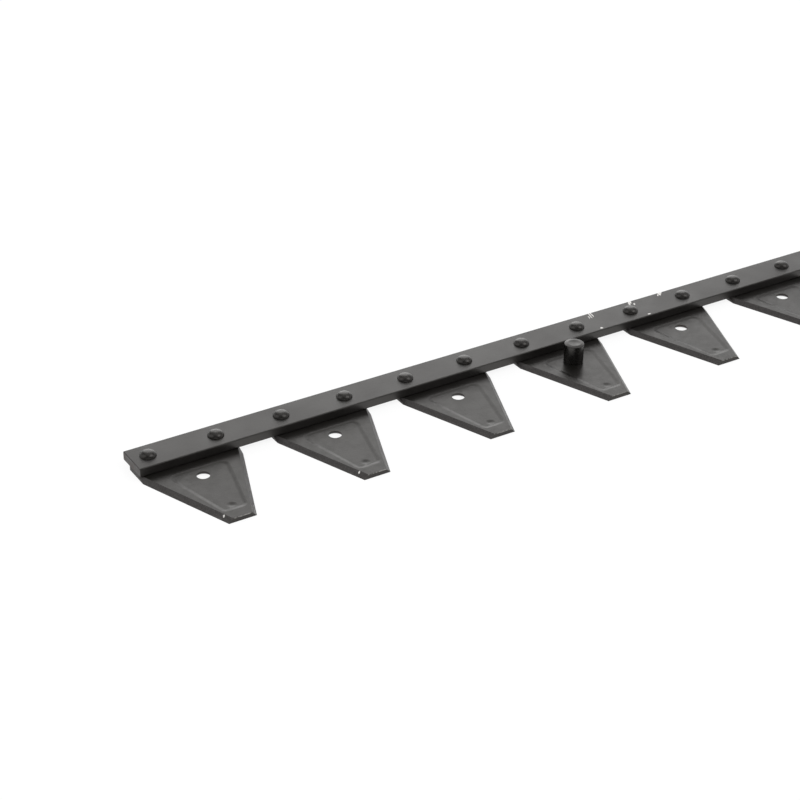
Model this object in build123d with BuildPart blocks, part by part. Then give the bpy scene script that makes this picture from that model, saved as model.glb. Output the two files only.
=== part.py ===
"""Bottom knife of a double-knife mower: a flat steel back with riveted knife sections and guide pins.

The knife lies on its sliding face, as it does on a bench. Millimetres. X runs along the knife, the
cutting edges point to -Y and +Z is up. The origin is under the middle of the box around the knife.
"""

import os
from math import atan2, degrees

from build123d import *

# Knife back, a rolled flat bar with lightly rounded long edges
section_count = 11
rivet_pitch = 38.1
rivets_per_section = 2
back_width = 20.0
back_thickness = 5.0
back_edge_round = 0.4
back_end_distance = 9.25  # from the last rivet to the end of the bar

# Knife section, with its reaches measured from the line of the rivets
section_width = 56.2
section_thickness = 2.5
section_rear_reach = 8.5
section_rear_chamfer = 5.5
section_shoulder_reach = 12.5
section_front_reach = 66.0
section_tip_width = 15.2
bevel_width = 2.3
cutting_land = 0.2
tip_top_break = 0.3

# Pressed hollow in the upper face of a section, and the small dimple at its front end
hollow_depth = 0.3
hollow_wall = 2.0
hollow_rear_reach = 15.5
hollow_front_reach = 60.0
hollow_rear_width = 33.0
hollow_front_width = 11.0
hollow_rear_radius = 5.0
hollow_front_radius = 3.5
dimple_reach = 54.5
dimple_diameter = 3.6
dimple_depth = 0.45

# Hole in the middle of each section, countersunk on the sliding face
centre_hole_reach = 23.3
centre_hole_diameter = 7.0
centre_sink_diameter = 9.0
centre_sink_depth = 1.0

# Round-head rivet, closed flush with the sliding face
rivet_diameter = 5.0
rivet_head_diameter = 8.8
rivet_head_height = 3.0
rivet_sink_diameter = 7.2
rivet_sink_depth = 1.1

# Guide pin, riveted into the centre hole of every fourth section
pin_section_step = 4
pin_diameter = 11.0
pin_height = 11.1
pin_chamfer = 0.6
pin_dish_diameter = 7.0
pin_dish_depth = 0.5

# Places worked out from the sizes above
section_pitch = rivets_per_section * rivet_pitch
rivet_count = section_count * rivets_per_section
back_length = (rivet_count - 1) * rivet_pitch + 2 * back_end_distance
back_top = section_thickness + back_thickness
rivet_line_y = (section_front_reach - back_width / 2) / 2
section_centres = [(i - (section_count - 1) / 2) * section_pitch for i in range(section_count)]
rivet_offsets = [(j - (rivets_per_section - 1) / 2) * rivet_pitch for j in range(rivets_per_section)]
rivet_places = [centre + offset for centre in section_centres for offset in rivet_offsets]
pin_places = section_centres[pin_section_step - 1 :: pin_section_step]
hollow_floor = section_thickness - hollow_depth


def level_plane(x, z=0.0):
    """A level plane with its origin on the line of the rivets."""
    return Plane(origin=(x, rivet_line_y, z))


def turning_plane(x, y):
    """An upright plane through a round piece's axis: local X is its radius and local Y is its height."""
    return Plane(origin=(x, y, 0), x_dir=(1, 0, 0), z_dir=(0, -1, 0))


def sink_angle(sink_diameter, hole_diameter, sink_depth):
    """Full angle of a countersink that narrows to the hole over its depth."""
    return 2 * degrees(atan2((sink_diameter - hole_diameter) / 2, sink_depth))


def make_back():
    """The flat bar, drilled for every rivet."""
    with BuildPart() as back:
        with BuildSketch(level_plane(0, section_thickness)):
            Rectangle(back_length, back_width)
        extrude(amount=back_thickness)
        fillet(back.edges().filter_by(Axis.X), radius=back_edge_round)
        with Locations([(x, rivet_line_y, back_top) for x in rivet_places]):
            Hole(radius=rivet_diameter / 2, depth=back_thickness)
    return back.part


def make_section(centre_x):
    """A ground blade with a pressed hollow, two rivet holes and a centre hole."""
    half_width = section_width / 2
    half_tip = section_tip_width / 2
    base = level_plane(centre_x)
    with BuildPart() as section:
        with BuildSketch(base):
            with BuildLine():
                Polyline(
                    (-half_tip, -section_front_reach),
                    (half_tip, -section_front_reach),
                    (half_width, -section_shoulder_reach),
                    (half_width, section_rear_reach - section_rear_chamfer),
                    (half_width - section_rear_chamfer, section_rear_reach),
                    (section_rear_chamfer - half_width, section_rear_reach),
                    (-half_width, section_rear_reach - section_rear_chamfer),
                    (-half_width, -section_shoulder_reach),
                    close=True,
                )
            make_face()
        extrude(amount=section_thickness)

        # Each cutting edge is ground from the upper face down to a thin land
        for side in (-1, 1):
            edge_run = Vector(side * (half_width - half_tip), section_front_reach - section_shoulder_reach, 0)
            along = edge_run.normalized()
            rise = section_thickness - cutting_land
            bevel_plane = Plane(
                origin=(centre_x + side * half_tip, rivet_line_y - section_front_reach, cutting_land),
                x_dir=along,
                z_dir=(side * along.Y * rise, -side * along.X * rise, bevel_width),
            )
            split(bisect_by=bevel_plane, keep=Keep.BOTTOM)

        # The upper edge of the tip is broken
        tip_face = section.faces().sort_by(Axis.Y)[0]
        chamfer(tip_face.edges().sort_by(Axis.Z)[-1], length=tip_top_break)

        # Pressed hollow with sloping walls, and the dimple in its floor
        with BuildSketch(base.offset(section_thickness)) as mouth:
            with BuildLine():
                Polyline(
                    (-hollow_front_width / 2, -hollow_front_reach),
                    (hollow_front_width / 2, -hollow_front_reach),
                    (hollow_rear_width / 2, -hollow_rear_reach),
                    (-hollow_rear_width / 2, -hollow_rear_reach),
                    close=True,
                )
            make_face()
            fillet(mouth.vertices().group_by(Axis.Y)[-1], radius=hollow_rear_radius)
            fillet(mouth.vertices().group_by(Axis.Y)[0], radius=hollow_front_radius)
        extrude(amount=-hollow_depth, taper=degrees(atan2(hollow_wall, hollow_depth)), mode=Mode.SUBTRACT)
        dimple_radius = (dimple_diameter**2 / 4 + dimple_depth**2) / (2 * dimple_depth)
        dimple_centre_z = hollow_floor - dimple_depth + dimple_radius
        with Locations((centre_x, rivet_line_y - dimple_reach, dimple_centre_z)):
            Sphere(dimple_radius, mode=Mode.SUBTRACT)

        # Countersunk holes, drilled from the sliding face
        with Locations(Plane(origin=(centre_x, rivet_line_y, 0), x_dir=(1, 0, 0), z_dir=(0, 0, -1))):
            with Locations([(offset, 0) for offset in rivet_offsets]):
                CounterSinkHole(
                    radius=rivet_diameter / 2,
                    counter_sink_radius=rivet_sink_diameter / 2,
                    depth=section_thickness,
                    counter_sink_angle=sink_angle(rivet_sink_diameter, rivet_diameter, rivet_sink_depth),
                )
            with Locations((0, centre_hole_reach)):
                CounterSinkHole(
                    radius=centre_hole_diameter / 2,
                    counter_sink_radius=centre_sink_diameter / 2,
                    depth=section_thickness,
                    counter_sink_angle=sink_angle(centre_sink_diameter, centre_hole_diameter, centre_sink_depth),
                )
    return section.part


def make_rivet(x):
    """A round-head rivet, its closed end spread into the countersink."""
    sink_radius = rivet_sink_diameter / 2
    shank_radius = rivet_diameter / 2
    head_radius = rivet_head_diameter / 2
    dome_radius = (head_radius**2 + rivet_head_height**2) / (2 * rivet_head_height)
    with BuildPart() as rivet:
        with BuildSketch(turning_plane(x, rivet_line_y)):
            with BuildLine():
                Polyline(
                    (0, back_top + rivet_head_height),
                    (0, 0),
                    (sink_radius, 0),
                    (shank_radius, rivet_sink_depth),
                    (shank_radius, back_top),
                    (head_radius, back_top),
                )
                RadiusArc((head_radius, back_top), (0, back_top + rivet_head_height), -dome_radius)
            make_face()
        revolve(axis=Axis((x, rivet_line_y, 0), (0, 0, 1)))
    return rivet.part


def make_pin(x):
    """A turned guide pin: its collar sits in the hollow and its tail fills the countersunk hole."""
    y = rivet_line_y - centre_hole_reach
    top = section_thickness + pin_height
    pin_radius = pin_diameter / 2
    with BuildPart() as pin:
        with BuildSketch(turning_plane(x, y)):
            with BuildLine():
                Polyline(
                    (0, 0),
                    (centre_sink_diameter / 2, 0),
                    (centre_hole_diameter / 2, centre_sink_depth),
                    (centre_hole_diameter / 2, hollow_floor),
                    (pin_radius, hollow_floor),
                    (pin_radius, top - pin_chamfer),
                    (pin_radius - pin_chamfer, top),
                    (pin_dish_diameter / 2, top),
                    (0, top - pin_dish_depth),
                    close=True,
                )
            make_face()
        revolve(axis=Axis((x, y, 0), (0, 0, 1)))
    return pin.part


def save(piece, name):
    """Label a finished piece and write it to its own file."""
    piece.label = name
    export_step(piece, f"parts/{name}.step")


os.makedirs("parts", exist_ok=True)
save(make_back(), "knife_back")
for number, centre in enumerate(section_centres, start=1):
    save(make_section(centre), f"knife_section_{number:02d}")
for number, place in enumerate(rivet_places, start=1):
    save(make_rivet(place), f"rivet_{number:02d}")
for number, place in enumerate(pin_places, start=1):
    save(make_pin(place), f"guide_pin_{number}")
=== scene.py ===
"""The finish of a mower's bottom knife: satin lacquered back, pressed and ground sections, set rivets, turned pins.

Every piece is modelled at its real size in the shared frame: X along the knife, cutting edges to -Y, Z up.
"""

import math

import bmesh
import bpy
from bpy.props import FloatProperty, FloatVectorProperty, IntProperty, PointerProperty, StringProperty
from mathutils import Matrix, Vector


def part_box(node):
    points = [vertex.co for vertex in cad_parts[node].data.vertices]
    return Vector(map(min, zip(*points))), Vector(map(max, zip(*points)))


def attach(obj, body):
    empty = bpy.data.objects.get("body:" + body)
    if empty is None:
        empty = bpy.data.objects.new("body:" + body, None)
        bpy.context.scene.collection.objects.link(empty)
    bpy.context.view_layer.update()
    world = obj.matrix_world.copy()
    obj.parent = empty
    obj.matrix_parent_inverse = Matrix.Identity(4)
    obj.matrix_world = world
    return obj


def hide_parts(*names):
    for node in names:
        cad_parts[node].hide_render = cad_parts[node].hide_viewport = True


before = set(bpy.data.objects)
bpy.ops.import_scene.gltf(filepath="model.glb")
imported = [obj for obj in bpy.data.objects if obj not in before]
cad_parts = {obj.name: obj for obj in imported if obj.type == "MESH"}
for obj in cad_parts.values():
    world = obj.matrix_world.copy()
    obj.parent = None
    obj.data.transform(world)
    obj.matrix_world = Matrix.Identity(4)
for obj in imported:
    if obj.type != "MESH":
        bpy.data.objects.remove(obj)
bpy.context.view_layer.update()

bl_info = {
    "name": "Mower Bottom Knife",
    "version": (1, 0, 0),
    "blender": (4, 5, 0),
    "location": "View3D > Sidebar > Knife",
    "description": "Models a riveted bottom knife with its finishes, floor, light and camera",
    "category": "Object",
}

MM = 0.001
CUT_TOLERANCE = 0.001 * MM
BODY = "root"

# Places taken from the frame: the bar, the first section, the first rivet and the first pin
BACK_LOW, BACK_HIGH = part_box("knife_back")
SECTION_LOW, SECTION_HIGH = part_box("knife_section_01")
RIVET_LOW, RIVET_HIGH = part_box("rivet_01")
PIN_LOW, PIN_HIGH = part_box("guide_pin_1")

SECTION_NODES = sorted(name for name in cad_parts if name.startswith("knife_section_"))
RIVET_NODES = sorted(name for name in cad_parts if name.startswith("rivet_"))
PIN_NODES = sorted(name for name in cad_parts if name.startswith("guide_pin_"))


def middle_x(node):
    """The middle of a node along the knife."""
    low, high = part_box(node)
    return (low.x + high.x) / 2


RIVET_LINE = (RIVET_LOW.y + RIVET_HIGH.y) / 2
SECTION_PITCH = middle_x(SECTION_NODES[1]) - middle_x(SECTION_NODES[0])
RIVET_OFFSET = (middle_x(RIVET_NODES[1]) - middle_x(RIVET_NODES[0])) / 2
SECTION_TOP = SECTION_HIGH.z
BACK_TOP = BACK_HIGH.z


def length(name, description, millimetres):
    """A length property with its default written in millimetres."""
    return FloatProperty(name=name, description=description, default=millimetres * MM, unit="LENGTH", precision=5)


def paint(name, description, hex_colour):
    """A colour property kept as the sRGB hex value that a paint chart gives."""
    return StringProperty(name=name, description=description, default=hex_colour)


class KnifeBackSizes(bpy.types.PropertyGroup):
    """Sizes of the flat bar that carries the sections."""

    edge_round: length("Edge round", "Radius of the rolled long edges", 0.6)
    end_break: length("End break", "Width of the broken edge at each sawn end", 0.25)
    round_steps: IntProperty(name="Round steps", description="Facets across a rolled edge", default=5)


class KnifeSectionSizes(bpy.types.PropertyGroup):
    """Sizes of one section. Reaches are measured from the line of the rivets."""

    rear_chamfer: length("Rear chamfer", "Leg of the corners cut off at the rear", 5.5)
    shoulder_reach: length("Shoulder reach", "Where the cutting edge starts", 12.5)
    tip_width: length("Tip width", "Width of the blunt tip", 15.2)
    bevel_width: length("Bevel width", "Ground width of a cutting edge, seen from above", 2.3)
    cutting_land: length("Cutting land", "Thickness left at the cutting edge", 0.2)
    tip_break: length("Tip break", "Broken upper edge of the tip", 0.35)
    hollow_depth: length("Hollow depth", "Depth of the pressed hollow", 0.38)
    hollow_lip: length("Hollow lip", "How far the hollow's rounded lip starts above the plate", 0.004)
    hollow_wall: length("Hollow wall", "Width of the hollow's sloping wall", 2.8)
    hollow_rear_reach: length("Hollow rear reach", "Rear end of the hollow", 15.5)
    hollow_front_reach: length("Hollow front reach", "Front end of the hollow", 59.5)
    hollow_rear_width: length("Hollow rear width", "Width of the hollow at its rear end", 36.0)
    hollow_front_width: length("Hollow front width", "Width of the hollow at its front end", 14.0)
    hollow_rear_round: length("Hollow rear round", "Cut-back of the hollow's rear corners", 6.4)
    hollow_front_round: length("Hollow front round", "Cut-back of the hollow's front corners", 3.0)
    dimple_reach: length("Dimple reach", "Middle of the press dimple", 54.5)
    dimple_width: length("Dimple width", "Width of the press dimple", 6.0)
    dimple_depth: length("Dimple depth", "Depth of the press dimple", 0.3)
    hole_reach: length("Hole reach", "Middle of the centre hole", 23.3)
    hole_width: length("Hole width", "Width of the centre hole", 7.0)
    hole_sink_width: length("Hole sink width", "Width of the centre hole's countersink", 9.0)
    hole_sink_depth: length("Hole sink depth", "Depth of the centre hole's countersink", 1.0)
    edge_break: length("Edge break", "Width of the worn arris round the plate", 0.12)
    wall_steps: IntProperty(name="Wall steps", description="Rings across the hollow's wall", default=12)
    corner_steps: IntProperty(name="Corner steps", description="Facets round a corner of the hollow", default=8)
    hole_sides: IntProperty(name="Hole sides", description="Facets round a hole", default=48)


class RivetSizes(bpy.types.PropertyGroup):
    """Sizes of a round-head rivet."""

    shank_width: length("Shank width", "Diameter of the shank", 5.0)
    sink_width: length("Sink width", "Diameter of the closed end at the sliding face", 7.2)
    sink_depth: length("Sink depth", "Depth of the closed end", 1.1)
    head_flattening: length("Head flattening", "How much lower than a full dome the head was set", 0.5)
    crown_fullness: FloatProperty(name="Crown fullness", description="Exponent that flattens the crown", default=3.0)
    flank_fullness: FloatProperty(name="Flank fullness", description="Exponent that rounds the flank", default=0.625)
    foot_height: length("Foot height", "Upright rim under the dome", 0.12)
    dome_steps: IntProperty(name="Dome steps", description="Rings up the dome", default=12)
    sides: IntProperty(name="Sides", description="Facets round a rivet", default=40)


class GuidePinSizes(bpy.types.PropertyGroup):
    """Sizes of a turned guide pin."""

    tail_width: length("Tail width", "Diameter of the tail in the section's hole", 7.0)
    shoulder_round: length("Shoulder round", "Radius where the body meets the end face", 0.35)
    ring_drop: length("Ring drop", "How far the end face's outer ring falls outwards", 0.3)
    ring_fall: FloatProperty(name="Ring fall", description="Slope of the outer ring, in degrees", default=18.0)
    round_steps: IntProperty(name="Round steps", description="Facets across the rounded shoulder", default=5)
    dish_width: length("Dish width", "Diameter of the shallow dish in the end face", 7.0)
    dish_depth: length("Dish depth", "Depth of the dish", 0.25)
    foot_groove: length("Foot groove", "Depth of the groove turned at the pin's foot", 0.25)
    sides: IntProperty(name="Sides", description="Facets round a pin", default=64)


class FinishColours(bpy.types.PropertyGroup):
    """Colours of the finishes, as sRGB hex values."""

    lacquer: paint("Lacquer", "Satin lacquer on rolled steel", "#151412")
    lacquer_dust: paint("Lacquer dust", "Lighter bloom in the lacquer", "#1E1C1B")
    blade: paint("Blade lacquer", "Satin lacquer on blade steel", "#151411")
    ground: paint("Ground lacquer", "Lacquer thinned on the ground bevels", "#3D3A3B")
    sheared: paint("Sheared edge", "Dark sheared edges", "#141210")
    rust: paint("Rust tint", "Brown tint of flash rust under the lacquer", "#3E2C24")
    rivet: paint("Rivet", "Lacquered rivet head", "#1B1A18")
    pin: paint("Pin", "Oil-blackened turned steel", "#121110")
    faced: paint("Faced steel", "Thin lacquer over the marks of facing", "#2A2826")
    bare: paint("Bare steel", "Bright steel where the lacquer has chipped off", "#E9E7E3")
    floor: paint("Floor", "Pale studio floor", "#F2F2F2")


class StageSettings(bpy.types.PropertyGroup):
    """Floor, light and camera."""

    floor_size: FloatProperty(name="Floor size", description="Side of the floor", default=9.0, unit="LENGTH")
    floor_gap: length("Floor gap", "Air left under the knife", 0.05)
    camera_place: FloatVectorProperty(
        name="Camera place",
        description="Where the camera stands",
        default=(-0.728513, -0.737802, 0.524802),
        subtype="XYZ",
        unit="LENGTH",
    )
    camera_turn: FloatVectorProperty(
        name="Camera turn",
        description="Tilt, roll and heading of the camera",
        default=(math.radians(59.5771), math.radians(-0.4941), math.radians(-31.6631)),
        subtype="EULER",
        unit="ROTATION",
    )
    camera_lens: FloatProperty(name="Camera lens", description="Focal length on a 36 mm wide sensor", default=86.876)


def linear_colour(hex_colour):
    """The linear RGBA colour of an sRGB hex value."""
    channels = [int(hex_colour[i : i + 2], 16) / 255 for i in (1, 3, 5)]
    linear = [c / 12.92 if c <= 0.04045 else ((c + 0.055) / 1.055) ** 2.4 for c in channels]
    return (*linear, 1.0)


def add_node(tree, kind, inputs=None, **settings):
    """Add a shader node. inputs gives a socket its value, or the socket that feeds it."""
    node = tree.nodes.new(kind)
    for name, value in settings.items():
        setattr(node, name, value)
    for socket, value in (inputs or {}).items():
        if isinstance(value, bpy.types.NodeSocket):
            tree.links.new(value, node.inputs[socket])
        else:
            node.inputs[socket].default_value = value
    return node


def blank_material(name):
    """An empty node material and its tree."""
    material = bpy.data.materials.new(name)
    material.use_nodes = True
    material.node_tree.nodes.clear()
    return material, material.node_tree


def maths(tree, operation, *values, clamp=False):
    """The result of one Math node."""
    node = add_node(tree, "ShaderNodeMath", dict(enumerate(values)), operation=operation, use_clamp=clamp)
    return node.outputs[0]


def blended(tree, share, first, second):
    """A colour between two colours."""
    node = add_node(tree, "ShaderNodeMix", {0: share, 6: first, 7: second}, data_type="RGBA")
    return node.outputs[2]


def ramped(tree, value, start, end, low=0.0, high=1.0):
    """A value that goes smoothly from low to high as the given one goes from start to end."""
    sockets = {"Value": value, "From Min": start, "From Max": end, "To Min": low, "To Max": high}
    node = add_node(tree, "ShaderNodeMapRange", sockets, interpolation_type="SMOOTHSTEP")
    return node.outputs["Result"]


def noise(tree, vector, grain_mm, detail=3.0, roughness=0.55, distortion=0.0):
    """Noise whose features are about grain_mm wide."""
    sockets = {
        "Vector": vector,
        "Scale": 1 / (grain_mm * MM),
        "Detail": detail,
        "Roughness": roughness,
        "Distortion": distortion,
    }
    return add_node(tree, "ShaderNodeTexNoise", sockets).outputs["Fac"]


def stretched(tree, vector, factors):
    """The same coordinates with each axis scaled, to draw a pattern out along one of them."""
    node = add_node(tree, "ShaderNodeVectorMath", {0: vector, 1: factors}, operation="MULTIPLY")
    return node.outputs["Vector"]


def place_of(tree):
    """The surface's place in the shared frame, which is also its Object coordinate."""
    return add_node(tree, "ShaderNodeTexCoord").outputs["Object"]


def chip_mask(tree, place, chips):
    """A mask that is 1 on each chip, given as middle x, y, z, length, width in mm and heading in degrees."""
    ragged = add_node(
        tree,
        "ShaderNodeTexNoise",
        {"Vector": place, "Scale": 1 / (1.1 * MM), "Detail": 4.0},
        noise_dimensions="3D",
    ).outputs["Color"]
    centred = add_node(tree, "ShaderNodeVectorMath", {0: ragged, 1: (0.5, 0.5, 0.5)}, operation="SUBTRACT")
    shift = stretched(tree, centred.outputs["Vector"], (1.1 * MM, 1.1 * MM, 0.5 * MM))
    uneven = add_node(tree, "ShaderNodeVectorMath", {0: place, 1: shift}, operation="ADD").outputs["Vector"]
    mask = 0.0
    for x, y, z, chip_length, chip_width, heading in chips:
        local = add_node(
            tree,
            "ShaderNodeMapping",
            {
                "Vector": uneven,
                "Location": (x * MM, y * MM, z * MM),
                "Rotation": (0.0, 0.0, math.radians(heading)),
                "Scale": (chip_length / 2 * MM, chip_width / 2 * MM, 1.2 * MM),
            },
            vector_type="TEXTURE",
        ).outputs["Vector"]
        reach = add_node(tree, "ShaderNodeVectorMath", {0: local}, operation="LENGTH").outputs["Value"]
        mask = maths(tree, "MAXIMUM", mask, ramped(tree, reach, 1.1, 0.8))
    return mask


def close_material(tree, colour, roughness, height=None, height_mm=0.02, bump=1.0, specular=0.7):
    """Join colour, roughness and relief in one surface shader."""
    sockets = {"Base Color": colour, "Roughness": roughness, "Specular IOR Level": specular}
    sockets["Specular Tint"] = (1.0, 0.965, 0.93, 1.0)
    if height is not None:
        relief = {"Height": height, "Distance": height_mm * MM, "Strength": bump}
        sockets["Normal"] = add_node(tree, "ShaderNodeBump", relief).outputs["Normal"]
    shader = add_node(tree, "ShaderNodeBsdfPrincipled", sockets)
    add_node(tree, "ShaderNodeOutputMaterial", {"Surface": shader.outputs[0]})
    return shader


# Chips on the bar's upper face, in mm from the middle of the knife and from the line of the rivets
BACK_CHIPS = [
    (-117.1, 8.0, 6.8, 0.8, 80.0),
    (-118.6, 7.4, 7.4, 0.7, 76.0),
    (-120.4, 6.0, 3.4, 0.6, 70.0),
    (-121.9, -8.2, 2.0, 1.3, 5.0),
    (-88.6, 9.2, 4.4, 1.3, 75.0),
    (-90.2, 7.8, 4.6, 1.0, 68.0),
    (-88.0, 5.6, 2.6, 1.0, 60.0),
    (-88.1, -8.4, 1.9, 1.2, 0.0),
    (-67.6, 8.6, 4.6, 1.6, 80.0),
    (-66.2, 9.2, 3.4, 1.6, 40.0),
    (-69.4, 7.4, 2.4, 0.9, 60.0),
]

# Chips on the sections' upper faces, in mm from the middle of the knife and from the line of the rivets
SECTION_CHIPS = [
    (-388.7, -60.9, 1.2, 0.9, 20.0),
    (-312.5, -60.8, 1.0, 0.8, 20.0),
]


def chips_at(chips, height):
    """The chips of a list as places in the shared frame at one height, in mm."""
    line = RIVET_LINE / MM
    return [(x, y + line, height / MM, long, wide, heading) for x, y, long, wide, heading in chips]


def rolled_steel_lacquered(colours):
    """Hot-rolled flat, wire-brushed and dipped in dark satin lacquer.

    The lacquer evens the mill skin out: a soft sheen, faint lines along the bar and dry bloom in patches.
    """
    material, tree = blank_material("rolled_steel_satin_lacquer")
    place = place_of(tree)
    bloom = noise(tree, place, 22, detail=4)
    drawn = noise(tree, stretched(tree, place, (0.04, 1.0, 1.0)), 0.9, detail=2)
    grain = noise(tree, place, 0.45, detail=5, roughness=0.65)
    shade = blended(tree, ramped(tree, bloom, 0.35, 0.7), linear_colour(colours.lacquer), linear_colour(colours.lacquer_dust))
    speck = ramped(tree, grain, 0.62, 0.75, 0.0, 0.35)
    shade = blended(tree, speck, shade, linear_colour(colours.lacquer_dust))
    chips = chip_mask(tree, place, chips_at(BACK_CHIPS, BACK_TOP))
    shade = blended(tree, chips, shade, linear_colour(colours.bare))
    rough = maths(tree, "ADD", ramped(tree, bloom, 0.3, 0.7, 0.32, 0.4), maths(tree, "MULTIPLY", grain, 0.06))
    rough = maths(tree, "SUBTRACT", rough, maths(tree, "MULTIPLY", chips, 0.1))
    mottle = noise(tree, place, 1.5, detail=2)
    height = maths(tree, "ADD", maths(tree, "MULTIPLY", drawn, 0.35), grain)
    height = maths(tree, "ADD", height, maths(tree, "MULTIPLY", mottle, 1.2))
    height = maths(tree, "SUBTRACT", height, maths(tree, "MULTIPLY", chips, 1.5))
    close_material(tree, shade, rough, height, height_mm=0.02)
    return material


def sawn_end_rust(colours):
    """Sawn end of the bar: saw marks across it, with flash rust showing through a thin coat."""
    material, tree = blank_material("sawn_end_thin_lacquer")
    place = place_of(tree)
    marks = noise(tree, stretched(tree, place, (1.0, 0.08, 1.0)), 0.5, detail=2)
    bloom = noise(tree, place, 3.0, detail=4)
    shade = blended(
        tree, ramped(tree, bloom, 0.42, 0.66, 0.0, 0.6), linear_colour(colours.lacquer_dust), linear_colour(colours.rust)
    )
    close_material(tree, shade, ramped(tree, bloom, 0.3, 0.7, 0.4, 0.55), marks, height_mm=0.03)
    return material


def blade_steel_lacquered(colours):
    """Pressed blade steel under the same satin lacquer, a little smoother than the bar."""
    material, tree = blank_material("blade_steel_satin_lacquer")
    place = place_of(tree)
    bloom = noise(tree, place, 15, detail=4)
    cloud = noise(tree, place, 4.0, detail=3)
    grain = noise(tree, place, 0.4, detail=5, roughness=0.65)
    shade = blended(tree, ramped(tree, bloom, 0.35, 0.7), linear_colour(colours.blade), linear_colour(colours.lacquer_dust))
    speck = ramped(tree, grain, 0.62, 0.76, 0.0, 0.3)
    shade = blended(tree, speck, shade, linear_colour(colours.lacquer_dust))
    chips = chip_mask(tree, place, chips_at(SECTION_CHIPS, SECTION_TOP))
    shade = blended(tree, chips, shade, linear_colour(colours.bare))
    rough = maths(tree, "ADD", ramped(tree, cloud, 0.3, 0.7, 0.28, 0.35), maths(tree, "MULTIPLY", grain, 0.06))
    mottle = noise(tree, place, 1.5, detail=2)
    height = maths(tree, "ADD", maths(tree, "MULTIPLY", cloud, 1.2), grain)
    height = maths(tree, "ADD", height, maths(tree, "MULTIPLY", mottle, 1.2))
    close_material(tree, shade, rough, height, height_mm=0.02, specular=0.62)
    return material


def ground_bevel(colours, sizes):
    """Ground cutting bevel: fine wheel marks along the edge, lacquer worn thin towards the arris and the tip; the
    bare steel there, stronger on the right-hand bevels, is partly that wear and partly painted highlight, and its
    fading towards the bar is painted shade.
    """
    material, tree = blank_material("ground_bevel_thin_lacquer")
    place = place_of(tree)
    parts = add_node(tree, "ShaderNodeSeparateXYZ", {"Vector": place}).outputs
    half_width = (SECTION_HIGH.x - SECTION_LOW.x) / 2
    run_x = half_width - sizes.tip_width / 2
    run_y = RIVET_LINE - sizes.shoulder_reach - SECTION_LOW.y
    edge_length = math.hypot(run_x, run_y)
    across_x, across_y = run_y / edge_length, run_x / edge_length
    # Place within one section, then distance in from the cutting edge and along it
    local_x = maths(tree, "WRAP", parts["X"], SECTION_PITCH / 2, -SECTION_PITCH / 2)
    side = maths(tree, "SIGN", local_x)
    past_width = maths(tree, "SUBTRACT", maths(tree, "ABSOLUTE", local_x), half_width)
    past_shoulder = maths(tree, "SUBTRACT", RIVET_LINE - sizes.shoulder_reach, parts["Y"])
    outward = maths(tree, "ADD", maths(tree, "MULTIPLY", past_width, across_x), maths(tree, "MULTIPLY", past_shoulder, across_y))
    inward = maths(tree, "MULTIPLY", outward, -1.0)
    along = maths(
        tree, "SUBTRACT", maths(tree, "MULTIPLY", past_shoulder, across_x), maths(tree, "MULTIPLY", past_width, across_y)
    )
    number = maths(tree, "FLOOR", maths(tree, "DIVIDE", parts["X"], SECTION_PITCH / 2))
    edge_place = add_node(
        tree,
        "ShaderNodeCombineXYZ",
        {"X": along, "Y": inward, "Z": maths(tree, "MULTIPLY", number, 0.05)},
    ).outputs["Vector"]
    streaks = noise(tree, stretched(tree, edge_place, (0.05, 1.0, 1.0)), 0.35, detail=3, roughness=0.7)
    patches = noise(tree, stretched(tree, edge_place, (0.4, 1.0, 1.0)), 2.6, detail=3)
    # right is 1 on the right-hand bevels, where the bare steel is made stronger as a painted highlight of the light
    # falling on that side, over the real wear
    right = maths(tree, "MULTIPLY", maths(tree, "ADD", side, 1.0), 0.5)
    # near_tip leaves the bevel darker near the bar and lighter towards the tip: painted shade of the bar, on top of
    # the wear at the tip
    near_tip = ramped(tree, along, edge_length * 0.35, edge_length)
    near_edge = ramped(tree, inward, 1.1 * MM, 0.1 * MM)
    # The bare-steel mask below is real wheel-streak wear, with painted highlight along the arris and on the
    # right-hand bevels and painted shade near the bar
    worn = maths(tree, "MULTIPLY", ramped(tree, streaks, 0.5, 0.72), ramped(tree, patches, 0.4, 0.6))
    worn = maths(tree, "MULTIPLY", worn, maths(tree, "ADD", maths(tree, "MULTIPLY", near_tip, 0.6), near_edge))
    worn = maths(tree, "MULTIPLY", worn, maths(tree, "ADD", 0.12, maths(tree, "MULTIPLY", right, 0.5)), clamp=True)
    speckle = noise(tree, edge_place, 0.7, detail=4, roughness=0.7)
    shade = blended(tree, ramped(tree, speckle, 0.4, 0.62, 0.3, 0.9), linear_colour(colours.sheared), linear_colour(colours.ground))
    # Bare steel laid over the bevel by that mask: wear together with painted highlight and painted shade
    shade = blended(tree, worn, shade, linear_colour(colours.bare))
    chips = chip_mask(tree, place, chips_at(SECTION_CHIPS, SECTION_TOP - sizes.bevel_width / 3))
    shade = blended(tree, chips, shade, linear_colour(colours.bare))
    rough = ramped(tree, streaks, 0.3, 0.7, 0.3, 0.48)
    close_material(tree, shade, rough, streaks, height_mm=0.03)
    return material


def sheared_edge(colours):
    """Sheared and punched walls of a section: dull, dark, with brown flash rust where the coat is thin."""
    material, tree = blank_material("sheared_steel_dark_edge")
    place = place_of(tree)
    tears = noise(tree, stretched(tree, place, (1.0, 1.0, 0.15)), 0.35, detail=3)
    bloom = noise(tree, place, 5.0, detail=3)
    shade = blended(
        tree, ramped(tree, bloom, 0.5, 0.75, 0.0, 0.5), linear_colour(colours.sheared), linear_colour(colours.rust)
    )
    close_material(tree, shade, 0.55, tears, height_mm=0.03)
    return material


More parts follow.
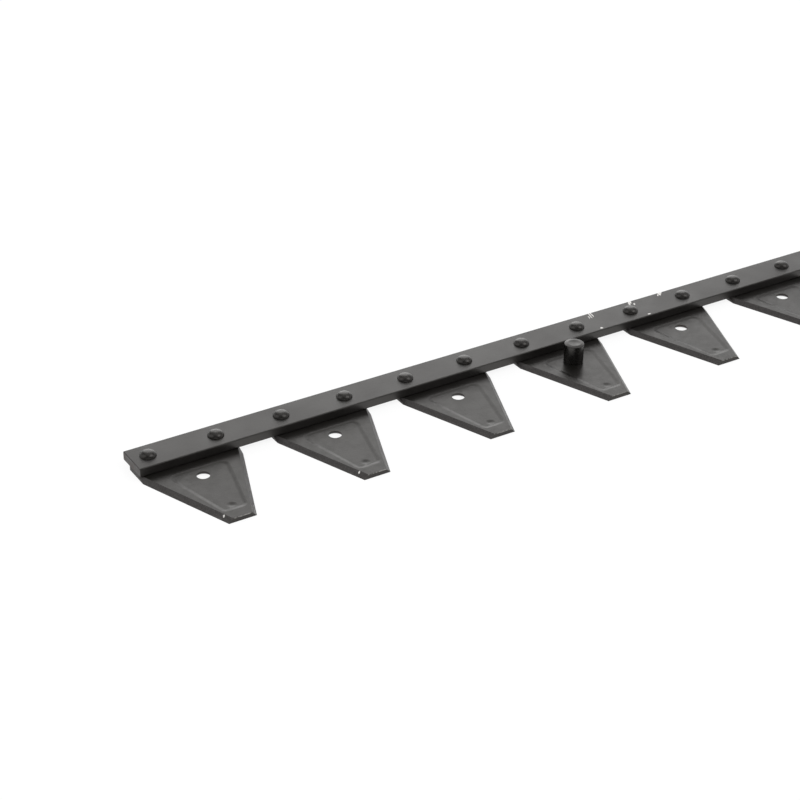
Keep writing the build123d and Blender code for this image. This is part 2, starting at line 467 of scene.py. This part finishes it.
def rivet_lacquered(colours):
    """Rivet head set hot or by press: smooth dome, slightly hammered, under the satin lacquer."""
    material, tree = blank_material("set_rivet_satin_lacquer")
    place = place_of(tree)
    dents = noise(tree, place, 2.0, detail=2)
    grain = noise(tree, place, 0.4, detail=4)
    shade = blended(tree, ramped(tree, dents, 0.35, 0.7, 0.0, 0.6), linear_colour(colours.rivet), linear_colour(colours.lacquer_dust))
    height = maths(tree, "ADD", maths(tree, "MULTIPLY", dents, 2.0), grain)
    close_material(tree, shade, ramped(tree, grain, 0.3, 0.7, 0.24, 0.32), height, height_mm=0.015)
    return material


def pin_turned_steel(colours):
    """Oil-blackened turned steel: smooth enough to mirror the tent in a thin strip down each side."""
    material, tree = blank_material("turned_steel_oil_black")
    place = place_of(tree)
    rings = noise(tree, stretched(tree, place, (0.05, 0.05, 1.0)), 0.3, detail=2)
    bloom = noise(tree, place, 3.0, detail=3)
    shade = blended(tree, ramped(tree, bloom, 0.35, 0.7, 0.0, 0.5), linear_colour(colours.pin), linear_colour(colours.rivet))
    close_material(tree, shade, ramped(tree, bloom, 0.3, 0.7, 0.2, 0.28), rings, height_mm=0.006)
    return material


def pin_faced_end(colours):
    """End face of a pin: concentric facing marks from the lathe catch the light in two wedges."""
    material, tree = blank_material("faced_steel_satin_lacquer")
    place = place_of(tree)
    parts = add_node(tree, "ShaderNodeSeparateXYZ", {"Vector": place}).outputs
    from_axis = maths(tree, "SUBTRACT", maths(tree, "ABSOLUTE", parts["X"]), abs(middle_x(PIN_NODES[0])))
    outward = add_node(
        tree,
        "ShaderNodeCombineXYZ",
        {"X": from_axis, "Y": maths(tree, "SUBTRACT", parts["Y"], (PIN_LOW.y + PIN_HIGH.y) / 2)},
    ).outputs["Vector"]
    radius = add_node(tree, "ShaderNodeVectorMath", {0: outward}, operation="LENGTH").outputs["Value"]
    marks = noise(tree, add_node(tree, "ShaderNodeCombineXYZ", {"X": radius}).outputs["Vector"], 0.3, detail=2)
    grain = noise(tree, place, 0.35, detail=4)
    shade = blended(tree, ramped(tree, marks, 0.35, 0.65), linear_colour(colours.pin), linear_colour(colours.faced))
    shader = close_material(tree, shade, ramped(tree, grain, 0.3, 0.7, 0.28, 0.36), marks, height_mm=0.02)
    # The marks run round the axis, so the shine is drawn out across them
    outward_parts = add_node(tree, "ShaderNodeSeparateXYZ", {"Vector": outward}).outputs
    backward = maths(tree, "MULTIPLY", outward_parts["Y"], -1.0)
    round_axis = add_node(tree, "ShaderNodeCombineXYZ", {"X": backward, "Y": outward_parts["X"]}).outputs["Vector"]
    unit = add_node(tree, "ShaderNodeVectorMath", {0: round_axis}, operation="NORMALIZE").outputs["Vector"]
    tree.links.new(unit, shader.inputs["Tangent"])
    shader.inputs["Anisotropic"].default_value = 0.7
    return material


def arris_wear_and_highlight(colours):
    """Upper edge of a section's tip, lightened with bare steel in patches: partly wear through the lacquer, partly a
    painted highlight along the edge.
    """
    material, tree = blank_material("worn_arris_thin_lacquer")
    place = place_of(tree)
    rub_and_highlight_noise = noise(tree, place, 2.2, detail=4)
    # Bare steel mixed in along the arris: partly wear, partly a painted highlight
    shade = blended(tree, ramped(tree, rub_and_highlight_noise, 0.4, 0.62, 0.0, 0.28), linear_colour(colours.blade), linear_colour(colours.bare))
    close_material(tree, shade, 0.35, rub_and_highlight_noise, height_mm=0.02)
    return material


def studio_floor(colours):
    """Pale paper sweep: the lens and every reflection see it white, and it keeps the knife's soft shadow."""
    material, tree = blank_material("pale_paper_floor")
    paper = add_node(tree, "ShaderNodeBsdfDiffuse", {"Color": linear_colour(colours.floor)}).outputs[0]
    glow = add_node(tree, "ShaderNodeEmission", {"Color": (1.0, 1.0, 1.0, 1.0), "Strength": 1.08}).outputs[0]
    path = add_node(tree, "ShaderNodeLightPath").outputs
    seen = maths(tree, "MAXIMUM", path["Is Camera Ray"], path["Is Glossy Ray"])
    seen = maths(tree, "MAXIMUM", seen, path["Is Transmission Ray"])
    share = maths(tree, "MULTIPLY", seen, 0.82)
    surface = add_node(tree, "ShaderNodeMixShader", {0: share, 1: paper, 2: glow}).outputs[0]
    add_node(tree, "ShaderNodeOutputMaterial", {"Surface": surface})
    return material


def studio_world(heading):
    """A white tent that runs from behind the knife over it, dimmer at its sides and round the camera.

    The lens sees it plain white. Diffuse light from it is even.
    """
    world = bpy.data.worlds.new("studio")
    world.use_nodes = True
    tree = world.node_tree
    tree.nodes.clear()
    direction = add_node(tree, "ShaderNodeTexCoord").outputs["Generated"]
    rise = add_node(tree, "ShaderNodeSeparateXYZ", {"Vector": direction}).outputs["Z"]
    to_right = (math.cos(heading), math.sin(heading), 0.0)
    to_rear = (-math.sin(heading), math.cos(heading), 0.0)
    across = add_node(tree, "ShaderNodeVectorMath", {0: direction, 1: to_right}, operation="DOT_PRODUCT")
    along = add_node(tree, "ShaderNodeVectorMath", {0: direction, 1: to_rear}, operation="DOT_PRODUCT")
    height_share = ramped(tree, rise, 0.15, 0.65, 1.55, 0.6)
    off_axis = maths(tree, "ABSOLUTE", maths(tree, "SUBTRACT", across.outputs["Value"], 0.08))
    side_share = ramped(tree, off_axis, 0.22, 0.6, 1.0, 0.4)
    front_share = ramped(tree, along.outputs["Value"], -0.5, 0.1, 0.25, 1.0)
    mirrored = maths(tree, "MULTIPLY", maths(tree, "MULTIPLY", height_share, side_share), front_share)
    path = add_node(tree, "ShaderNodeLightPath").outputs
    strength = ramped(tree, path["Is Diffuse Ray"], 0.0, 1.0, mirrored, 0.6)
    seen = maths(tree, "MAXIMUM", path["Is Camera Ray"], path["Is Transmission Ray"])
    strength = ramped(tree, seen, 0.0, 1.0, strength, 1.0)
    sky = add_node(tree, "ShaderNodeBackground", {"Color": (1.0, 1.0, 1.0, 1.0), "Strength": strength})
    add_node(tree, "ShaderNodeOutputWorld", {"Surface": sky.outputs[0]})
    return world


def start_fresh():
    """Leave edit mode and deselect everything, the frame's own nodes among them."""
    if bpy.context.object and bpy.context.object.mode != "OBJECT":
        bpy.ops.object.mode_set(mode="OBJECT")
    bpy.ops.object.select_all(action="DESELECT")


def name_piece(name):
    """Name the object just made, and its mesh."""
    piece = bpy.context.object
    piece.name = name
    piece.data.name = name
    return piece


def make_active(piece):
    """Select one object and make it the active one."""
    start_fresh()
    piece.select_set(True)
    bpy.context.view_layer.objects.active = piece


def pick(kind, test):
    """In edit mode, select just the faces, edges or verts that pass a test."""
    modes = {"faces": "FACE", "edges": "EDGE", "verts": "VERT"}
    bpy.ops.mesh.select_mode(type=modes[kind])
    bpy.ops.mesh.select_all(action="DESELECT")
    mesh = bpy.context.object.data
    shape = bmesh.from_edit_mesh(mesh)
    for element in getattr(shape, kind):
        if test(element):
            element.select_set(True)
    bmesh.update_edit_mesh(mesh)


def cut_off(point, outward):
    """In edit mode, cut everything beyond a plane away and close the cut."""
    bpy.ops.mesh.select_all(action="SELECT")
    bpy.ops.mesh.bisect(plane_co=point, plane_no=outward, clear_outer=True, threshold=CUT_TOLERANCE)
    bpy.ops.mesh.edge_face_add()


def draw_up(rings, centre_x, centre_y):
    """In edit mode, extrude the selected face through rings of (radius, height), scaling it at each."""
    for (radius, height), (next_radius, next_height) in zip(rings, rings[1:]):
        bpy.ops.mesh.extrude_region_move(TRANSFORM_OT_translate={"value": (0, 0, next_height - height)})
        share = next_radius / radius
        bpy.ops.transform.resize(value=(share, share, 1.0), center_override=(centre_x, centre_y, next_height))


def turned_piece(name, x, y, rings, sides, closed_pole):
    """A turned solid: a disc drawn up through its rings, with the last one merged to a pole if asked."""
    start_fresh()
    bpy.ops.mesh.primitive_circle_add(
        vertices=sides, radius=rings[0][0], fill_type="NGON", location=(x, y, rings[0][1])
    )
    piece = name_piece(name)
    bpy.ops.object.transform_apply(location=True, rotation=True, scale=True)
    bpy.ops.object.mode_set(mode="EDIT")
    bpy.ops.mesh.select_mode(type="FACE")
    bpy.ops.mesh.select_all(action="SELECT")
    draw_up(rings, x, y)
    if closed_pole:
        bpy.ops.mesh.merge(type="CENTER")
    bpy.ops.mesh.select_all(action="SELECT")
    bpy.ops.mesh.normals_make_consistent(inside=False)
    bpy.ops.object.mode_set(mode="OBJECT")
    return piece


def apply_modifier(piece, kind, **settings):
    """Add a modifier with its settings and apply it."""
    make_active(piece)
    modifier = piece.modifiers.new(kind.lower(), kind)
    for name, value in settings.items():
        setattr(modifier, name, value)
    bpy.ops.object.modifier_apply(modifier=modifier.name)


def carve(piece, cutter):
    """Cut one solid out of another and throw the cutter away."""
    apply_modifier(piece, "BOOLEAN", operation="DIFFERENCE", solver="EXACT", object=cutter)
    bpy.data.meshes.remove(cutter.data)


def soften(piece, width, degrees=30.0, segments=2):
    """Break the sharp edges and shade the piece so that its flats stay flat."""
    apply_modifier(
        piece, "BEVEL", width=width, segments=segments, limit_method="ANGLE", angle_limit=math.radians(degrees)
    )
    smooth(piece, degrees)


def smooth(piece, degrees=30.0):
    """Shade smooth up to an angle, with the large faces keeping their own normals."""
    make_active(piece)
    bpy.ops.object.shade_smooth_by_angle(angle=math.radians(degrees))
    apply_modifier(piece, "WEIGHTED_NORMAL", keep_sharp=True, weight=50)


def move_to(piece, shift_x):
    """Move a finished piece along the knife, keeping its object at the origin."""
    make_active(piece)
    bpy.ops.transform.translate(value=(shift_x, 0.0, 0.0))
    bpy.ops.object.transform_apply(location=True, rotation=True, scale=True)


def copied(piece, name):
    """A copy of a piece with a mesh of its own."""
    make_active(piece)
    bpy.ops.object.duplicate(linked=False)
    return name_piece(name)


def hand_over(piece, node):
    """Let a finished piece stand for its node, on the knife's one body."""
    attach(piece, BODY)
    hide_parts(node)


def hole_cutter(x, y, sizes_width, sink_width, sink_depth, top, sides):
    """A drill with a countersink that opens downwards, longer than the plate at both ends."""
    over = 1.0 * MM
    radius = sizes_width / 2
    sink_slope = (sink_width - sizes_width) / 2 / sink_depth
    rings = [(radius + sink_slope * (sink_depth + over), -over), (radius, sink_depth), (radius, top + over)]
    return turned_piece("cutter", x, y, rings, sides, closed_pole=False)


def hollow_cutter(sizes, x):
    """The press tool of the hollow: a rounded trapezoid drawn down in an S-shaped wall."""
    lift = 1.0 * MM
    top = SECTION_TOP + sizes.hollow_lip
    rear = RIVET_LINE - sizes.hollow_rear_reach
    front = RIVET_LINE - sizes.hollow_front_reach
    start_fresh()
    bpy.ops.mesh.primitive_plane_add(size=1.0, location=(x, (rear + front) / 2, top + lift))
    cutter = name_piece("cutter")
    cutter.scale = (sizes.hollow_rear_width, rear - front, 1.0)
    bpy.ops.object.transform_apply(location=True, rotation=True, scale=True)
    bpy.ops.object.mode_set(mode="EDIT")
    pick("verts", lambda v: v.co.y < (rear + front) / 2)
    taper = sizes.hollow_front_width / sizes.hollow_rear_width
    bpy.ops.transform.resize(value=(taper, 1.0, 1.0), center_override=(x, front, top + lift))
    bpy.ops.mesh.bevel(offset=sizes.hollow_front_round, segments=sizes.corner_steps, affect="VERTICES")
    pick("verts", lambda v: v.co.y > rear - 0.1 * MM)
    bpy.ops.mesh.bevel(offset=sizes.hollow_rear_round, segments=sizes.corner_steps, affect="VERTICES")
    bpy.ops.mesh.select_mode(type="FACE")
    bpy.ops.mesh.select_all(action="SELECT")
    bpy.ops.mesh.extrude_region_move(TRANSFORM_OT_translate={"value": (0, 0, -lift)})
    drop = sizes.hollow_depth + sizes.hollow_lip
    step = sizes.hollow_wall / sizes.wall_steps
    for ring in range(sizes.wall_steps):
        fall = [share * share * (3 - 2 * share) for share in (ring / sizes.wall_steps, (ring + 1) / sizes.wall_steps)]
        bpy.ops.mesh.inset(thickness=step, depth=0.0, use_even_offset=True)
        bpy.ops.transform.translate(value=(0, 0, -drop * (fall[1] - fall[0])))
    bpy.ops.mesh.select_all(action="SELECT")
    bpy.ops.mesh.normals_make_consistent(inside=False)
    bpy.ops.object.mode_set(mode="OBJECT")
    return cutter


def dimple_cutter(sizes, x):
    """The round-nosed punch of the dimple, drawn out in the same S-shaped wall as the hollow."""
    floor = SECTION_TOP - sizes.hollow_depth
    drop = sizes.dimple_depth + sizes.hollow_lip
    rings = []
    for step in range(1, sizes.wall_steps + 1):
        share = step / sizes.wall_steps
        rings.append((sizes.dimple_width / 2 * share, floor - sizes.dimple_depth + drop * share * share * (3 - 2 * share)))
    rings.append((sizes.dimple_width / 2, SECTION_TOP + 1.0 * MM))
    return turned_piece("cutter", x, RIVET_LINE - sizes.dimple_reach, rings, sizes.hole_sides, closed_pole=False)


def blade_blank(sizes, name, x):
    """The plate of a section: sheared to its outline, ground on both cutting edges, broken at the tip."""
    half_width = (SECTION_HIGH.x - SECTION_LOW.x) / 2
    half_tip = sizes.tip_width / 2
    shoulder = RIVET_LINE - sizes.shoulder_reach
    start_fresh()
    bpy.ops.mesh.primitive_cube_add(size=1.0, location=(x, (SECTION_LOW.y + SECTION_HIGH.y) / 2, SECTION_TOP / 2))
    blank = name_piece(name)
    blank.scale = (2 * half_width, SECTION_HIGH.y - SECTION_LOW.y, SECTION_TOP)
    bpy.ops.object.transform_apply(location=True, rotation=True, scale=True)
    bpy.ops.object.mode_set(mode="EDIT")
    run_x = half_width - half_tip
    run_y = shoulder - SECTION_LOW.y
    edge_length = math.hypot(run_x, run_y)
    rise = SECTION_TOP - sizes.cutting_land
    for side in (-1, 1):
        tip_corner = (x + side * half_tip, SECTION_LOW.y, sizes.cutting_land)
        cut_off(tip_corner, (side * run_y, -run_x, 0.0))
        cut_off((x + side * (half_width - sizes.rear_chamfer), SECTION_HIGH.y, 0.0), (side, 1.0, 0.0))
        bevel_normal = (side * run_y / edge_length * rise, -run_x / edge_length * rise, sizes.bevel_width)
        cut_off(tip_corner, bevel_normal)
    cut_off((x, SECTION_LOW.y, SECTION_TOP - sizes.tip_break), (0.0, -1.0, 1.0))
    bpy.ops.mesh.select_all(action="SELECT")
    bpy.ops.mesh.normals_make_consistent(inside=False)
    bpy.ops.object.mode_set(mode="OBJECT")
    return blank


def finish_section(piece, finishes):
    """Give the plate, its ground bevels and its sheared walls their own finishes, by the way each face looks."""
    for finish in finishes:
        piece.data.materials.append(finish)
    ground_slope = (0.25, 0.9)
    for face in piece.data.polygons:
        on_edge = face.center.y < SECTION_HIGH.y - 20 * MM
        # The tip's broken arris takes the finish whose bare-steel patches are partly wear and partly painted
        # highlight
        if face.normal.y < -0.5 and face.normal.z > 0.5:
            face.material_index = 3
        elif abs(face.normal.z) <= ground_slope[0]:
            face.material_index = 2
        elif face.normal.z < ground_slope[1] and on_edge and face.area > 30 * MM * MM:
            face.material_index = 1
        else:
            face.material_index = 0


class KNIFE_OT_back(bpy.types.Operator):
    """Model the flat bar, drilled for its rivets"""

    bl_idname = "knife.back"
    bl_label = "Knife Back"

    def execute(self, context):
        sizes = context.scene.knife_back_sizes
        colours = context.scene.knife_colours
        start_fresh()
        bpy.ops.mesh.primitive_cube_add(size=1.0, location=(BACK_LOW + BACK_HIGH) / 2)
        bar = name_piece("flat_bar")
        bar.scale = BACK_HIGH - BACK_LOW - Vector((2 * sizes.end_break, 0.0, 0.0))
        bpy.ops.object.transform_apply(location=True, rotation=True, scale=True)
        bpy.ops.object.mode_set(mode="EDIT")
        pick("edges", lambda e: abs(e.verts[0].co.x - e.verts[1].co.x) > BACK_HIGH.x)
        bpy.ops.mesh.bevel(offset=sizes.edge_round, segments=sizes.round_steps, profile=0.5)
        middle = (BACK_LOW + BACK_HIGH) / 2
        span = BACK_HIGH - BACK_LOW
        for side in (-1, 1):
            pick("faces", lambda f: f.normal.x * side > 0.9)
            bpy.ops.mesh.extrude_region_move(TRANSFORM_OT_translate={"value": (side * sizes.end_break, 0, 0)})
            bpy.ops.transform.resize(
                value=(1.0, 1 - 2 * sizes.end_break / span.y, 1 - 2 * sizes.end_break / span.z),
                center_override=(side * BACK_HIGH.x, middle.y, middle.z),
            )
        bpy.ops.object.mode_set(mode="OBJECT")
        for node in RIVET_NODES:
            drill = hole_cutter(
                middle_x(node),
                RIVET_LINE,
                context.scene.knife_rivet_sizes.shank_width,
                context.scene.knife_rivet_sizes.shank_width,
                BACK_LOW.z,
                BACK_TOP,
                context.scene.knife_rivet_sizes.sides,
            )
            carve(bar, drill)
        bar.data.materials.append(rolled_steel_lacquered(colours))
        bar.data.materials.append(sawn_end_rust(colours))
        for face in bar.data.polygons:
            face.material_index = int(abs(face.normal.x) > 0.7 and abs(face.center.x) > BACK_HIGH.x - 1 * MM)
        smooth(bar)
        hand_over(bar, "knife_back")
        return {"FINISHED"}


class KNIFE_OT_sections(bpy.types.Operator):
    """Model one section and repeat it along the knife"""

    bl_idname = "knife.sections"
    bl_label = "Knife Sections"

    def execute(self, context):
        sizes = context.scene.knife_section_sizes
        rivets = context.scene.knife_rivet_sizes
        colours = context.scene.knife_colours
        finishes = [
            blade_steel_lacquered(colours),
            ground_bevel(colours, sizes),
            sheared_edge(colours),
            arris_wear_and_highlight(colours),
        ]
        first_x = middle_x(SECTION_NODES[0])
        blade = blade_blank(sizes, "blade_01", first_x)
        carve(blade, hollow_cutter(sizes, first_x))
        carve(blade, dimple_cutter(sizes, first_x))
        hole_y = RIVET_LINE - sizes.hole_reach
        carve(
            blade,
            hole_cutter(
                first_x, hole_y, sizes.hole_width, sizes.hole_sink_width, sizes.hole_sink_depth, SECTION_TOP, sizes.hole_sides
            ),
        )
        for side in (-1, 1):
            shank, sink, depth = rivets.shank_width, rivets.sink_width, rivets.sink_depth
            x = first_x + side * RIVET_OFFSET
            carve(blade, hole_cutter(x, RIVET_LINE, shank, sink, depth, SECTION_TOP, rivets.sides))
        finish_section(blade, finishes)
        soften(blade, sizes.edge_break)
        blades = [blade] + [copied(blade, f"blade_{number:02d}") for number in range(2, len(SECTION_NODES) + 1)]
        for piece, node in zip(blades, SECTION_NODES):
            move_to(piece, middle_x(node) - first_x)
            hand_over(piece, node)
        return {"FINISHED"}


class KNIFE_OT_rivets(bpy.types.Operator):
    """Turn one rivet and set a copy at every place"""

    bl_idname = "knife.rivets"
    bl_label = "Rivets"

    def execute(self, context):
        sizes = context.scene.knife_rivet_sizes
        colours = context.scene.knife_colours
        first_x = middle_x(RIVET_NODES[0])
        head_radius = (RIVET_HIGH.x - RIVET_LOW.x) / 2
        shank_radius = sizes.shank_width / 2
        rings = [(sizes.sink_width / 2, RIVET_LOW.z), (shank_radius, sizes.sink_depth), (shank_radius, BACK_TOP)]
        head_height = RIVET_HIGH.z - BACK_TOP - sizes.head_flattening
        for step in range(sizes.dome_steps):
            radius = head_radius * math.sin(math.pi / 2 * (1 - step / sizes.dome_steps))
            fall = (radius / head_radius) ** sizes.crown_fullness
            rings.append((radius, BACK_TOP + head_height * (1 - fall) ** sizes.flank_fullness))
        rings[3] = (head_radius * 0.97, BACK_TOP)
        rings.insert(4, (head_radius, BACK_TOP + sizes.foot_height))
        rings.append((0.1 * MM, BACK_TOP + head_height))
        rivet = turned_piece("set_rivet_01", first_x, RIVET_LINE, rings, sizes.sides, closed_pole=True)
        rivet.data.materials.append(rivet_lacquered(colours))
        smooth(rivet, 40.0)
        rivets = [rivet] + [copied(rivet, f"set_rivet_{number:02d}") for number in range(2, len(RIVET_NODES) + 1)]
        for piece, node in zip(rivets, RIVET_NODES):
            move_to(piece, middle_x(node) - first_x)
            hand_over(piece, node)
        return {"FINISHED"}


class KNIFE_OT_pins(bpy.types.Operator):
    """Turn one guide pin and repeat it"""

    bl_idname = "knife.pins"
    bl_label = "Guide Pins"

    def execute(self, context):
        sizes = context.scene.knife_pin_sizes
        sections = context.scene.knife_section_sizes
        colours = context.scene.knife_colours
        first_x = middle_x(PIN_NODES[0])
        y = (PIN_LOW.y + PIN_HIGH.y) / 2
        radius = (PIN_HIGH.x - PIN_LOW.x) / 2
        seat = SECTION_TOP - sections.hollow_depth
        tail_radius = sizes.tail_width / 2
        groove_top = seat + 2 * sizes.foot_groove
        top = PIN_HIGH.z
        rings = [
            (sections.hole_sink_width / 2, PIN_LOW.z),
            (tail_radius, sections.hole_sink_depth),
            (tail_radius, seat),
            (radius - sizes.foot_groove, seat),
            (radius - sizes.foot_groove, groove_top),
            (radius, groove_top + sizes.foot_groove),
        ]
        # A rounded shoulder, a ring that falls outwards, then the dish
        for step in range(sizes.round_steps + 1):
            turn = math.radians(90 - sizes.ring_fall) * step / sizes.round_steps
            rings.append(
                (
                    radius - sizes.shoulder_round * (1 - math.cos(turn)),
                    top - sizes.ring_drop - sizes.shoulder_round * (math.sin(math.radians(90 - sizes.ring_fall)) - math.sin(turn)),
                )
            )
        rings.append((sizes.dish_width / 2 + 0.3 * MM, top))
        rings.append((sizes.dish_width / 2 - 0.3 * MM, top - 0.05 * MM))
        rings.append((sizes.dish_width / 4, top - sizes.dish_depth * 0.8))
        rings.append((0.1 * MM, top - sizes.dish_depth))
        pin = turned_piece("turned_pin_1", first_x, y, rings, sizes.sides, closed_pole=True)
        pin.data.materials.append(pin_turned_steel(colours))
        pin.data.materials.append(pin_faced_end(colours))
        for face in pin.data.polygons:
            face.material_index = int(face.center.z > top - sizes.ring_drop - 0.1 * MM)
        smooth(pin, 25.0)
        pins = [pin] + [copied(pin, f"turned_pin_{number}") for number in range(2, len(PIN_NODES) + 1)]
        for piece, node in zip(pins, PIN_NODES):
            move_to(piece, middle_x(node) - first_x)
            hand_over(piece, node)
        return {"FINISHED"}


class KNIFE_OT_stage(bpy.types.Operator):
    """Lay the floor, hang the lights and stand the camera up"""

    bl_idname = "knife.stage"
    bl_label = "Stage"

    def execute(self, context):
        stage = context.scene.knife_stage
        colours = context.scene.knife_colours
        start_fresh()
        bpy.ops.mesh.primitive_plane_add(size=stage.floor_size, location=(0.0, 0.0, -stage.floor_gap))
        floor = name_piece("floor")
        floor.data.materials.append(studio_floor(colours))
        context.scene.world = studio_world(stage.camera_turn[2])
        lamps = [
            ("softbox_behind", 64.0, -25.0, 40.0, 0.35),
            ("softbox_right", 40.0, -138.0, 40.0, 0.55),
            ("softbox_left", 50.0, 80.0, 50.0, 0.35),
        ]
        for name, tilt, heading, spread, strength in lamps:
            bpy.ops.object.light_add(type="SUN", location=(0.0, 0.0, 2.0))
            lamp = bpy.context.object
            lamp.name = name
            lamp.rotation_euler = (-math.radians(tilt), 0.0, math.radians(heading))
            lamp.data.angle = math.radians(spread)
            lamp.data.energy = strength
        bpy.ops.object.camera_add(location=stage.camera_place, rotation=stage.camera_turn)
        camera = bpy.context.object
        camera.name = "camera"
        camera.data.lens = stage.camera_lens
        camera.data.clip_start = 0.05
        context.scene.camera = camera
        context.scene.view_settings.view_transform = "Standard"
        return {"FINISHED"}


class KNIFE_PT_panel(bpy.types.Panel):
    """Buttons and sizes of the knife"""

    bl_label = "Bottom Knife"
    bl_idname = "KNIFE_PT_panel"
    bl_space_type = "VIEW_3D"
    bl_region_type = "UI"
    bl_category = "Knife"

    def draw(self, context):
        for operator in OPERATORS:
            self.layout.operator(operator.bl_idname)
        for name in GROUPS:
            box = self.layout.box()
            group = getattr(context.scene, name)
            for field in group.bl_rna.properties:
                if field.identifier not in ("rna_type", "name"):
                    box.prop(group, field.identifier)


GROUPS = {
    "knife_back_sizes": KnifeBackSizes,
    "knife_section_sizes": KnifeSectionSizes,
    "knife_rivet_sizes": RivetSizes,
    "knife_pin_sizes": GuidePinSizes,
    "knife_colours": FinishColours,
    "knife_stage": StageSettings,
}
OPERATORS = [KNIFE_OT_back, KNIFE_OT_sections, KNIFE_OT_rivets, KNIFE_OT_pins, KNIFE_OT_stage]


def register():
    """Register the classes and hang the settings on the scene."""
    for cls in [*GROUPS.values(), *OPERATORS, KNIFE_PT_panel]:
        bpy.utils.register_class(cls)
    for name, group in GROUPS.items():
        setattr(bpy.types.Scene, name, PointerProperty(type=group))


def unregister():
    """Take the settings and the classes away again."""
    for name in GROUPS:
        delattr(bpy.types.Scene, name)
    for cls in reversed([*GROUPS.values(), *OPERATORS, KNIFE_PT_panel]):
        bpy.utils.unregister_class(cls)


def main():
    """Make the knife and its stage."""
    register()
    bpy.ops.knife.back()
    bpy.ops.knife.sections()
    bpy.ops.knife.rivets()
    bpy.ops.knife.pins()
    bpy.ops.knife.stage()


if __name__ == "__main__":
    main()
